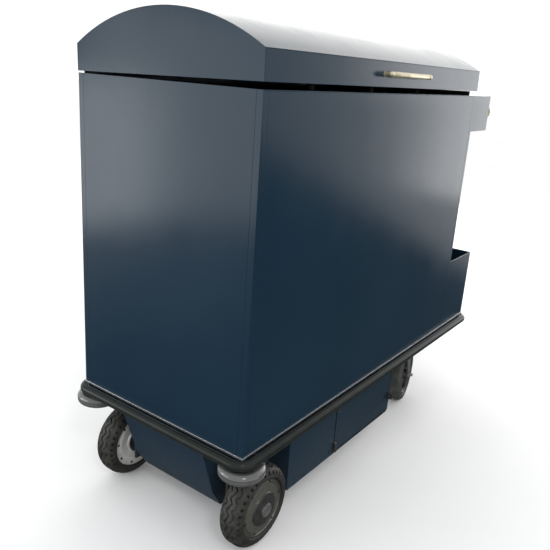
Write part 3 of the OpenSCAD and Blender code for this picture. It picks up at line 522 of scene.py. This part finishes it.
def drive_hub(side):
    """A dark rim, the silver motor face with its bolts, the outer motor cover and the cable gland."""
    out = (1 if side == "right" else -1, 0, 0)
    inward = (-out[0], 0, 0)
    at = middle("drive_tyre_" + side)
    body = "drive_wheel_" + side
    rim = Shape()
    rim.turn([(0.0834, -0.0272), (0.0834, 0.0290), (0.0826, 0.0302), (0.0812, 0.0308), (0.0798, 0.0304),
              (0.0792, 0.0290), (0.0786, 0.0282), (0.0774, 0.0282), (0.0768, 0.0292), (0.0758, 0.0298),
              (0.0730, 0.0298), (0.0722, 0.0290), (0.0722, -0.0240), (0.0240, -0.0240), (0.0240, -0.0272)],
             at, out, steps=128)
    inner = Shape()
    inner.turn([(0.0834, 0.0200), (0.0834, 0.0296), (0.0826, 0.0306), (0.0806, 0.0306), (0.0800, 0.0300),
                (0.0798, 0.0286), (0.0700, 0.0286), (0.0694, 0.0290), (0.0690, 0.0306), (0.0680, 0.0312),
                (0.0560, 0.0316), (0.0552, 0.0312), (0.0548, 0.0296), (0.0420, 0.0296), (0.0414, 0.0302),
                (0.0405, 0.0334), (0.0395, 0.0344), (0.0262, 0.0358), (0.0250, 0.0356), (0.0240, 0.0346),
                (0.0240, 0.0200)], at, inward, steps=128)
    rim.piece("rim_" + side, body, MAT["rim_metal"], ("drive_hub_" + side,))
    inner.piece("motor_face_" + side, body, HUB[side])
    bolts = Shape()
    for k in range(9):
        t = TAU * (k + 0.3) / 9
        spot = at + Vector(inward) * 0.0286 + Vector((0, math.cos(t), math.sin(t))) * 0.0748
        bolts.turn([(0.0038, -0.001), (0.0038, 0.0012), (0.0034, 0.0017), (0.0022, 0.0017),
                    (0.0020, 0.0004)], spot, inward, 18)
    for k in range(6):
        t = TAU * (k + 0.15) / 6
        spot = at + Vector(out) * 0.0298 + Vector((0, math.cos(t), math.sin(t))) * 0.0752
        bolts.turn([(0.0030, -0.001), (0.0030, 0.0008), (0.0026, 0.0013), (0.0016, 0.0013),
                    (0.0014, 0.0002)], spot, out, 18)
    bolts.piece("hub_bolts_" + side, body, MAT["black_metal"])
    cover = Shape()
    cover.turn([(0.0500, 0.0240), (0.0717, 0.0240), (0.0717, 0.0300), (0.0712, 0.0306), (0.0702, 0.0309),
                (0.0600, 0.0322), (0.0500, 0.0340), (0.0488, 0.0344), (0.0480, 0.0352), (0.0476, 0.0366),
                (0.0466, 0.0378), (0.0440, 0.0388), (0.0360, 0.0400), (0.0270, 0.0408), (0.0212, 0.0411),
                (0.0204, 0.0416), (0.0200, 0.0430), (0.0196, 0.0458), (0.0186, 0.0472), (0.0170, 0.0479),
                (0.0140, 0.0480), (0.0132, 0.0476), (0.0128, 0.0468), (0.0060, 0.0464), (0.0030, 0.0466)],
               at, out, steps=128)
    cover.piece("motor_cover_" + side, body, COVER[side], ("hub_cover_" + side,))
    cap = Shape()
    cap.turn([(0.0300, 0.0320), (0.0360, 0.0330), (0.0360, 0.0350), (0.0355, 0.0353), (0.0300, 0.0358),
              (0.0240, 0.0360)], at, inward, steps=96)
    cap.piece("cable_gland_" + side, body, MAT["black_plastic"])


def caster_wheel(side):
    """A solid tyre on a ribbed core, turned about its own axle."""
    node = "caster_tyre_" + side
    low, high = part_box(node)
    roll = joint(f"caster_{side}_roll")
    at, axle = Vector(roll["pos_m"]), Vector(roll["axis"]).normalized()
    body = "caster_wheel_" + side
    r = (high.z - low.z) / 2
    half_w = max(abs((v.co - at).dot(axle)) for v in NODES[node].data.vertices)
    tread = Shape()
    groove = [(0.0905, 0.0002), (0.0912, 0.0022), (0.0930, 0.0024), (0.0938, 0.0002)]
    outline = tyre_surface(r, half_w, 0.012, 0.086, 0.0015, groove)
    rounded = [(a - 0.0022 * (abs(b) / half_w) ** 2 * (a > r - 0.006), b) for a, b in outline]
    tread.turn(rounded + [(0.0852, half_w - 0.008), (0.0852, -half_w + 0.008)], at, axle, steps=160,
               closed=True)
    tread.piece("caster_tread_" + side, body, CASTER[side], (node,), sharp=50)
    core = Shape()
    edge = half_w - 0.003
    half = [(0.0130, half_w + 0.0022), (0.0195, half_w + 0.0022), (0.0205, half_w + 0.0012),
            (0.0255, 0.0072), (0.0270, 0.0060), (0.0740, 0.0060), (0.0755, 0.0072), (0.0775, edge - 0.001),
            (0.0785, edge), (0.0850, edge), (0.0858, edge - 0.001)]
    mirrored = [(a, -b) for a, b in reversed(half)]
    core.turn([(0.0062, half_w + 0.0022)] + half + mirrored + [(0.0062, -half_w - 0.0022)], at, axle,
              steps=128, closed=True)
    level = axle.cross(Vector((0, 0, 1)))
    ribs = 8
    sections = ((0.0215, 0.0125, 0.0030), (0.050, 0.0095, 0.0022), (0.0765, 0.0135, 0.0030))
    for k in range(ribs):
        t = TAU * (k + 0.5) / ribs
        arm = level * math.cos(t) + Vector((0, 0, math.sin(t)))
        across = axle.cross(arm)
        for face in (-1, 1):
            spots = []
            for along, tall, wide in sections:
                foot, lift = at + arm * along, axle * face
                section = [(0.005, -wide), (0.005 + tall, -wide * 0.7), (0.006 + tall, -wide * 0.35),
                           (0.006 + tall, wide * 0.35), (0.005 + tall, wide * 0.7), (0.005, wide)]
                spots.append([foot + lift * h + across * w for h, w in section])
            first, corners = len(core.points), len(section)
            core.grid(spots, close_columns=True)
            core.faces.append([first + n for n in range(corners)])
            core.faces.append([first + 2 * corners + n for n in range(corners)][::-1])
    core.piece("caster_wheel_core_" + side, body, MAT["caster_core"], ("caster_core_" + side,),
               sharp=40)


def roller(side):
    """A glossy corner roller with a rounded rim and a groove round its middle."""
    node = "corner_roller_" + side
    at = middle(node)
    low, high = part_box(node)
    r, half = (high.x - low.x) / 2, (high.z - low.z) / 2
    shape = Shape()
    profile = [(0.0084, 0.0120), (0.0200, 0.0120), (0.0225, 0.0128), (0.0260, 0.0150), (0.0300, 0.0158),
               (0.0400, 0.0166), (0.0440, 0.0172)]
    profile += [(r - 0.0150 + a, half - 0.0150 + b) for a, b in arc((0, 0), 0.0150, 90, 8, 12)]
    profile += [(r - 0.0006, 0.0010), (r - 0.0014, 0.0002), (r - 0.0014, -0.0006), (r - 0.0006, -0.0014)]
    profile += [(r - 0.0225 + a, -0.0030 + b * 0.66) for a, b in arc((0, 0), 0.0220, 0, -84, 12)]
    profile += [(0.0360, -half + 0.0004), (0.0300, -half + 0.0020), (0.0260, -0.0128), (0.0225, -0.0120),
                (0.0084, -0.0120)]
    shape.turn(profile, at, (0, 0, 1), steps=128, closed=True)
    shape.piece("roller_" + side, "roller_" + side, MAT["roller_gloss"], (node,), sharp=30)


def bumper():
    """One rubber rail with bent corners all round the deck."""
    low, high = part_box("bumper_rail")
    r = (high.z - low.z) / 2
    bend = 0.036
    z = (low.z + high.z) / 2
    corners = [(high.x - r - bend, high.y - r - bend, 0), (low.x + r + bend, high.y - r - bend, 90),
               (low.x + r + bend, low.y + r + bend, 180), (high.x - r - bend, low.y + r + bend, 270)]
    path = []
    for x, y, start in corners:
        path += [(a, b, z) for a, b in arc((x, y), bend, start, start + 90, 18)]
    full = []
    for i, p in enumerate(path):
        q = path[(i + 1) % len(path)]
        full.append(p)
        gap = (Vector(q) - Vector(p)).length
        if gap > 0.1:
            pieces = int(gap / 0.06)
            full += [tuple(Vector(p).lerp(Vector(q), k / pieces)) for k in range(1, pieces)]
    shape = Shape()
    shape.sweep(full, ring(r, 40), closed=True)
    shape.piece("bumper", "root", MAT["rail_rubber"], ("bumper_rail",), sharp=60)


# ---- Lid handle, controls and trim ----

def handle():
    """A turned brass bar with a knurled band, collars and end caps."""
    low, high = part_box("lid_handle_bar")
    at = (low + high) / 2
    half, r = (high.y - low.y) / 2, (high.z - low.z) / 2
    band_from, band_to = -0.076, -0.022
    profile = [(0.0028, -half), (r * 0.55, -half + 0.0004), (r * 0.62, -half + 0.0016),
               (r * 0.62, -half + 0.0075), (r * 0.80, -half + 0.0085), (r * 0.94, -half + 0.0110),
               (r * 0.97, -half + 0.0160), (r * 0.90, -half + 0.0175), (r * 0.90, -half + 0.0190),
               (r * 0.97, -half + 0.0205), (r * 0.97, band_from - 0.0040), (r, band_from - 0.0030),
               (r, band_from - 0.0012), (r * 0.93, band_from)]
    tail = [(r * 0.93, band_to), (r, band_to + 0.0012), (r, band_to + 0.0030), (r * 0.97, band_to + 0.0040),
            (r * 0.97, half - 0.0205), (r * 0.90, half - 0.0190), (r * 0.90, half - 0.0175),
            (r * 0.98, half - 0.0160), (r * 0.98, half - 0.0030), (r * 0.92, half - 0.0008),
            (r * 0.80, half), (0.0028, half)]
    shape = Shape()
    shape.turn(profile + tail, at, (0, 1, 0), steps=64)
    shape.piece("pull_bar", "lid", MAT["handle_brass"], ("lid_handle_bar",))
    band = Shape()
    steps, rows = 96, 56
    grid = []
    for i in range(rows + 1):
        y = band_from + (band_to - band_from) * i / rows
        row = []
        for k in range(steps):
            t = TAU * k / steps
            u = 12 * t / TAU
            v = (y - band_from) / 0.0052
            ridge = max(abs(math.sin(math.pi * (u + v))), abs(math.sin(math.pi * (u - v))))
            edge = min(1.0, 6.0 * min(i, rows - i) / rows)
            q = r * (0.925 + 0.075 * (1.0 - ridge) ** 0.5 * edge)
            row.append((at.x + q * math.cos(t), at.y + y, at.z + q * math.sin(t)))
        grid.append(row)
    first = len(band.points)
    band.grid(grid, close_columns=True)
    band.faces.append([first + k for k in range(steps)])
    band.faces.append([first + rows * steps + k for k in range(steps)][::-1])
    band.piece("grip_band", "lid", MAT["handle_brass"], sharp=70)


def controls():
    """A mushroom push button in a ribbed black collar, and the screws at the corners of its panel."""
    low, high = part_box("switch_bezel")
    at = (low + high) / 2
    r, depth = (high.x - low.x) / 2, high.y - low.y
    front = Vector((at.x, low.y, at.z))
    bezel = Shape()
    bezel.turn([(0.0082, 0.0), (r, 0.0), (r, 0.0016), (r * 0.985, 0.0022), (r * 0.86, 0.0026),
                (r * 0.85, 0.0034), (r * 0.85, depth - 0.0034), (r * 0.87, depth - 0.0028),
                (r * 0.87, depth - 0.0008), (r * 0.85, depth), (0.0082, depth)], front, (0, 1, 0), steps=96,
               closed=True)
    for k in range(24):
        t = TAU * k / 24
        spot = front + Vector((math.cos(t), 0, math.sin(t))) * r * 0.855 + Vector((0, 0.0036, 0))
        bezel.turn([(0.0008, 0), (0.0008, depth - 0.0073)], spot, (0, 1, 0), steps=8)
    bezel.piece("button_collar", "root", MAT["black_plastic"], ("switch_bezel",))
    low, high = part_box("switch_button")
    r = (high.x - low.x) / 2
    back = Vector((at.x, low.y, at.z))
    length = high.y - low.y
    button = Shape()
    button.turn([(0.0040, 0.0), (0.0076, 0.0004), (0.0079, 0.0012), (0.0079, length - 0.0128),
                 (r * 0.90, length - 0.0128), (r * 0.965, length - 0.0124), (r * 0.99, length - 0.0114),
                 (r, length - 0.0100), (r, length - 0.0046), (r * 0.99, length - 0.0030),
                 (r * 0.96, length - 0.0017), (r * 0.90, length - 0.0008), (r * 0.80, length - 0.0002),
                 (r * 0.70, length), (r * 0.62, length), (r * 0.60, length - 0.0005),
                 (r * 0.56, length - 0.0010), (r * 0.30, length - 0.0006), (0.0020, length - 0.0004)], back,
                (0, 1, 0), steps=96)
    button.piece("drive_button", "button", MAT["button_cream"], ("switch_button",))
    low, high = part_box("control_box_housing")
    screws = Shape()
    for x in (low.x + 0.014, high.x - 0.014):
        for z in (low.z + 0.014, high.z - 0.014):
            socket_screw(screws, (x, high.y, z), (0, 1, 0), 0.0042, 0.0024)
    screws.piece("control_screws", "root", MAT["zinc_steel"])


def door_hinges():
    """Black sleeves and leaf covers on the two hinges of the service door."""
    x, y = joint("door_hinge")["pos_m"][:2]
    feet = (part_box("power_box_floor")[0].z + 0.012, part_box("frame_long_rails")[0].z - 0.074)
    for half, body in enumerate(("root", "door")):
        sleeve = Shape()
        sign = 1 if half else -1
        for foot in feet:
            z = foot + half * 0.015
            sleeve.turn([(0.0049, 0.0003), (0.0058, 0.0003), (0.0062, 0.0007), (0.0062, 0.0139),
                         (0.0058, 0.0143), (0.0049, 0.0143)], (x, y, z), (0, 0, 1), steps=40, closed=True)
            sleeve.block((x - 0.0036, min(y + sign * 0.0031, y + sign * 0.0305), z + 0.0005),
                         (x - 0.0032, max(y + sign * 0.0031, y + sign * 0.0305), z + 0.0143))
            for along in (0.012, 0.024):
                socket_screw(sleeve, (x - 0.0033, y + sign * along, z + 0.0072), (1, 0, 0), 0.0024, 0.0010)
        sleeve.piece("door_hinge_sleeves_" + body, body, MAT["black_plastic"],
                     sharp=40)


def hinge_screws():
    """Rows of screws along both leaves of the long lid hinge."""
    for node, body, up in (("body_hinge_leaves", "root", -1), ("lid_hinge_leaves", "lid", 1)):
        low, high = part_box(node)
        z = low.z + 0.012 if up < 0 else high.z - 0.012
        edge = low.z if up < 0 else high.z
        face = min(v.co.x for v in NODES[node].data.vertices if abs(v.co.z - edge) < 0.0005)
        row = Shape()
        count = 13
        for k in range(count):
            y = low.y + 0.024 + (high.y - low.y - 0.048) * k / (count - 1)
            socket_screw(row, (face + 0.0001, y, z), (-1, 0, 0), 0.0042, 0.0018)
        row.piece("hinge_screws_" + body, body, MAT["zinc_steel"])


def rear_seal():
    """A wedge of soft black weather strip on the rear wall that fills the gap under the lid's rear gable."""
    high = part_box("rear_panel")[1]
    hinge_x = joint("lid_hinge")["pos_m"][0]
    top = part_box("corner_posts")[1].z
    lid_lean = math.tan(math.radians(1.06))
    start, length, steps = -0.284, 0.560, 30
    y = high.y - 0.0040
    strip = Shape()
    rows = []
    for k in range(steps + 1):
        x = start + length * k / steps
        h = 0.0030 + (x - hinge_x) * lid_lean
        outline = [(-0.0045, -0.0100), (-0.0045, h * 0.75), (-0.0030, h * 0.95), (0, h), (0.0025, h * 0.9),
                   (0.0035, h * 0.7), (0.0035, -0.0100)]
        rows.append([(x, y + a, top + b) for a, b in outline])
    strip.grid(rows, close_columns=True)
    corners = len(outline)
    strip.faces += [list(range(corners)), [steps * corners + k for k in range(corners)][::-1]]
    strip.piece("lid_seal", "root", MAT["mat_rubber"], sharp=50)


def edge_beads():
    """Small rounded seams where the sheets meet: along the top of the box and along the lid's creases."""
    r = 0.0013
    low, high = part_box("corner_posts")
    z = high.z - r
    body = Shape()
    outline = ring(r, 12)
    x, front, rear = high.x - r * 0.4, low.y + r * 0.4, high.y - r * 0.4
    body.sweep([(x, front, z), (x, rear, z), (-x, rear, z), (-x, front, z)], outline, closed=True)
    body.piece("top_seam", "root", MAT["navy_paint"], sharp=60)
    low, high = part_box("bin_walls")
    lip = Shape()
    z, x, rear = high.z - r * 0.3, high.x - r * 0.4, high.y - r * 0.4
    lip.sweep([(x, low.y + 0.001, z), (x, rear, z), (-x, rear, z), (-x, low.y + 0.001, z)], outline)
    lip.piece("bin_lip", "root", MAT["navy_paint"], sharp=60)
    creases = Shape()
    skirt = [v.co for v in NODES["lid_side_skirts"].data.vertices]
    for side in (-1, 1):
        corner = max((p for p in skirt if p.x * side > 0), key=lambda p: p.z + p.x * side)
        ends = [min(p.y for p in skirt), max(p.y for p in skirt)]
        creases.sweep([(corner.x - side * r * 0.5, y, corner.z + r * 0.3) for y in ends], outline)
    creases.piece("lid_seams", "lid", MAT["navy_paint"], sharp=60)


def hems():
    """Folded edges inside the open top of the bin."""
    low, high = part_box("bin_walls")
    wall, fold, gap = 0.0015, 0.0018, 0.0001
    outer = 0.2985
    inner = outer - fold
    foot, top = high.z - 0.014, high.z - 0.0004
    hem = Shape()
    for x in (-1, 1):
        hem.block((min(x * outer, x * inner), low.y + 0.0006, foot),
                  (max(x * outer, x * inner), high.y - wall, top))
    hem.block((gap - inner, high.y - wall - fold, foot), (inner - gap, high.y - wall, top))
    hem.piece("bin_hem", "root", MAT["navy_paint"], bevel=0.0006)


def mat_studs():
    """A rubber mat with rows of low round studs."""
    low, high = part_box("floor_mat")
    shape = Shape()
    shape.block(low, (high.x, high.y, high.z - 0.0003))
    nx, ny = 18, 38
    for i in range(nx):
        for j in range(ny):
            x = low.x + (high.x - low.x) * (i + 0.5) / nx
            y = low.y + (high.y - low.y) * (j + 0.5) / ny
            shape.turn([(0.0092, -0.0006), (0.0090, 0.0003), (0.0084, 0.0006)], (x, y, high.z), (0, 0, 1),
                       steps=16)
    shape.piece("stud_mat", "root", MAT["mat_rubber"], ("floor_mat",))


def latch_trim():
    """A ribbed black grip round the latch knob."""
    low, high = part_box("latch_knob")
    at = Vector((high.x, (low.y + high.y) / 2, 0))
    z = high.z - 0.011
    shape = Shape()
    steps, rib_depth, bore_r = 72, 0.0007, 0.0098
    profile = ((-0.0190, 0.0112), (-0.0182, 0.0116), (-0.0060, 0.0116), (-0.0050, 0.0112),
               (-0.0050, bore_r))
    rows = []
    for h, q in profile:
        row = []
        for k in range(steps):
            t = TAU * k / steps
            grip = q - (rib_depth if (k // 3) % 2 else 0.0)
            row.append((at.x + h, at.y + grip * math.cos(t), z + grip * math.sin(t)))
        rows.append(row)
    bore = ring(bore_r, steps)
    rows.append([(at.x + profile[0][0], at.y + a, z + b) for a, b in bore])
    shape.grid(rows, close_rows=True, close_columns=True)
    shape.piece("latch_grip", "latch", MAT["black_plastic"])


# ---- The build ----

add_camera()

FINISHES = {
    "frame_paint": dict(dark=(0.016, 0.017, 0.018), light=(0.028, 0.029, 0.03), rough=(0.38, 0.55),
                        spots=20, grain=500, grain_depth=0.00012),
    "edge_steel": dict(dark=(0.56, 0.58, 0.60), light=(0.46, 0.48, 0.50), rough=(0.14, 0.24), spots=60,
                       metal=0.9),
    "rail_rubber": dict(dark=(0.010, 0.013, 0.012), light=(0.016, 0.019, 0.018), rough=(0.13, 0.2),
                        spots=24, grain=700, grain_depth=0.00004, ior=1.24),
    "roller_gloss": dict(dark=(0.055, 0.057, 0.056), light=(0.08, 0.082, 0.08), rough=(0.14, 0.22),
                         spots=30, grain=300, grain_depth=0.00004, coat=0.6, coat_rough=0.06),
    "rim_metal": dict(dark=(0.10, 0.10, 0.09), light=(0.17, 0.17, 0.15), rough=(0.26, 0.4), spots=60,
                      grain=600, grain_depth=0.00003, metal=0.7),
    "fork_steel": dict(dark=(0.20, 0.205, 0.19), light=(0.29, 0.29, 0.27), rough=(0.32, 0.48), spots=60,
                       grain=700, grain_depth=0.00004, metal=0.8),
    "hinge_steel": dict(dark=(0.24, 0.245, 0.25), light=(0.34, 0.34, 0.34), rough=(0.36, 0.5), spots=50,
                        grain=900, grain_depth=0.00003, metal=1.0),
    "zinc_steel": dict(dark=(0.42, 0.43, 0.44), light=(0.6, 0.6, 0.59), rough=(0.28, 0.42), spots=70,
                       metal=1.0),
    "mat_rubber": dict(dark=(0.012, 0.012, 0.013), light=(0.022, 0.022, 0.023), rough=(0.55, 0.7), spots=40,
                       grain=800, grain_depth=0.0001),
    "buffer_rubber": dict(dark=(0.002, 0.002, 0.002), light=(0.005, 0.005, 0.005), rough=(0.7, 0.85),
                          spots=40, ior=1.12),
    "handle_brass": dict(dark=(0.42, 0.37, 0.25), light=(0.56, 0.50, 0.35), rough=(0.3, 0.44), spots=80,
                         grain=900, grain_depth=0.00003, metal=0.7),
    "button_cream": dict(dark=(0.62, 0.60, 0.42), light=(0.70, 0.68, 0.50), rough=(0.2, 0.3), spots=60,
                         coat=0.5),
    "black_plastic": dict(dark=(0.018, 0.018, 0.019), light=(0.03, 0.03, 0.032), rough=(0.3, 0.45),
                          spots=40, grain=700, grain_depth=0.00008),
    "black_metal": dict(dark=(0.012, 0.012, 0.012), light=(0.03, 0.03, 0.03), rough=(0.3, 0.5), spots=60,
                        metal=0.6),
    "battery_case": dict(dark=(0.030, 0.034, 0.038), light=(0.042, 0.047, 0.052), rough=(0.4, 0.55),
                         spots=30, grain=600, grain_depth=0.00015),
    "cast_aluminium": dict(dark=(0.5, 0.5, 0.49), light=(0.64, 0.64, 0.62), rough=(0.35, 0.5), spots=60,
                           grain=500, grain_depth=0.0001, metal=1.0),
    "copper_winding": dict(dark=(0.45, 0.2, 0.08), light=(0.6, 0.3, 0.14), rough=(0.3, 0.4), spots=90,
                           grain=400, grain_depth=0.0003, metal=1.0),
    "caster_core": dict(dark=(0.012, 0.012, 0.013), light=(0.025, 0.025, 0.026), rough=(0.4, 0.55),
                        spots=40, grain=600, grain_depth=0.0001),
}

MAT = {"navy_paint": powder_coat("navy_paint", (0.006, 0.019, 0.034), (0.008, 0.023, 0.040))}
MAT.update({name: finish(name, **look) for name, look in FINISHES.items()})
TYRE, HUB, COVER, CASTER = {}, {}, {}, {}
for side in ("left", "right"):
    axle = tuple(middle("drive_tyre_" + side))
    TYRE[side] = tyre_rubber("drive_tread_" + side, axle, (0.010, 0.010, 0.010), (0.042, 0.042, 0.035),
                             0.08, 0.116)
    HUB[side] = turned_metal("hub_metal_" + side, axle, (0.50, 0.50, 0.48), (0.64, 0.64, 0.61), (0.34, 0.5),
                             0.35)
    COVER[side] = cover_metal("cover_metal_" + side, axle)
    CASTER[side] = tyre_rubber("caster_tread_" + side, tuple(middle("caster_tyre_" + side)),
                               (0.030, 0.034, 0.031), (0.085, 0.090, 0.078), 0.09, 0.112)

add_studio()
SLOTS = {row["node"]: row["material_slot"] for row in frame["record"]["subparts"]}
for node, thing in NODES.items():
    slot = SLOTS[node]
    if slot in MAT:
        thing.data.materials.clear()
        thing.data.materials.append(MAT[slot])
OWN_LOOKS = {"hinge_steel": ("body_hinge_leaves", "lid_hinge_leaves"),
             "fork_steel": ("caster_fork_left", "caster_fork_right", "caster_mounts"),
             "buffer_rubber": ("lid_buffers",)}
for look, worn_by in OWN_LOOKS.items():
    for node in worn_by:
        NODES[node].data.materials[0] = MAT[look]

BEVELS = {
    0.4: ("lid_roof", "right_side_panel", "left_side_panel", "front_panel", "rear_panel",
          "body_hinge_leaves", "lid_hinge_leaves"),
    0.5: ("caster_bolt_left", "caster_bolt_right", "drive_axles", "lid_handle_posts", "power_box_floor",
          "power_box_end_walls", "power_box_side_walls", "access_door", "front_fascia", "lid_gables",
          "lid_side_skirts", "bin_walls", "corner_posts", "deck_edge_strips"),
    0.6: ("latch_knob", "roller_bolts", "deck_pan", "rail_saddles", "motor_controller"),
    0.8: ("drive_brackets", "caster_mounts"),
    1.0: ("caster_fork_left", "caster_fork_right"),
    1.2: ("frame_long_rails", "frame_cross_members", "lid_frame"),
    1.5: ("caster_beam", "top_rim"),
    3.0: ("battery_pack",),
}
for width, rounded in BEVELS.items():
    for node in rounded:
        soften(NODES[node], width * MM)

for side in ("left", "right"):
    drive_tyre(side)
    drive_hub(side)
    caster_wheel(side)
    roller(side)
bumper()
handle()
controls()
hems()
mat_studs()
latch_trim()
door_hinges()
hinge_screws()
edge_beads()
rear_seal()
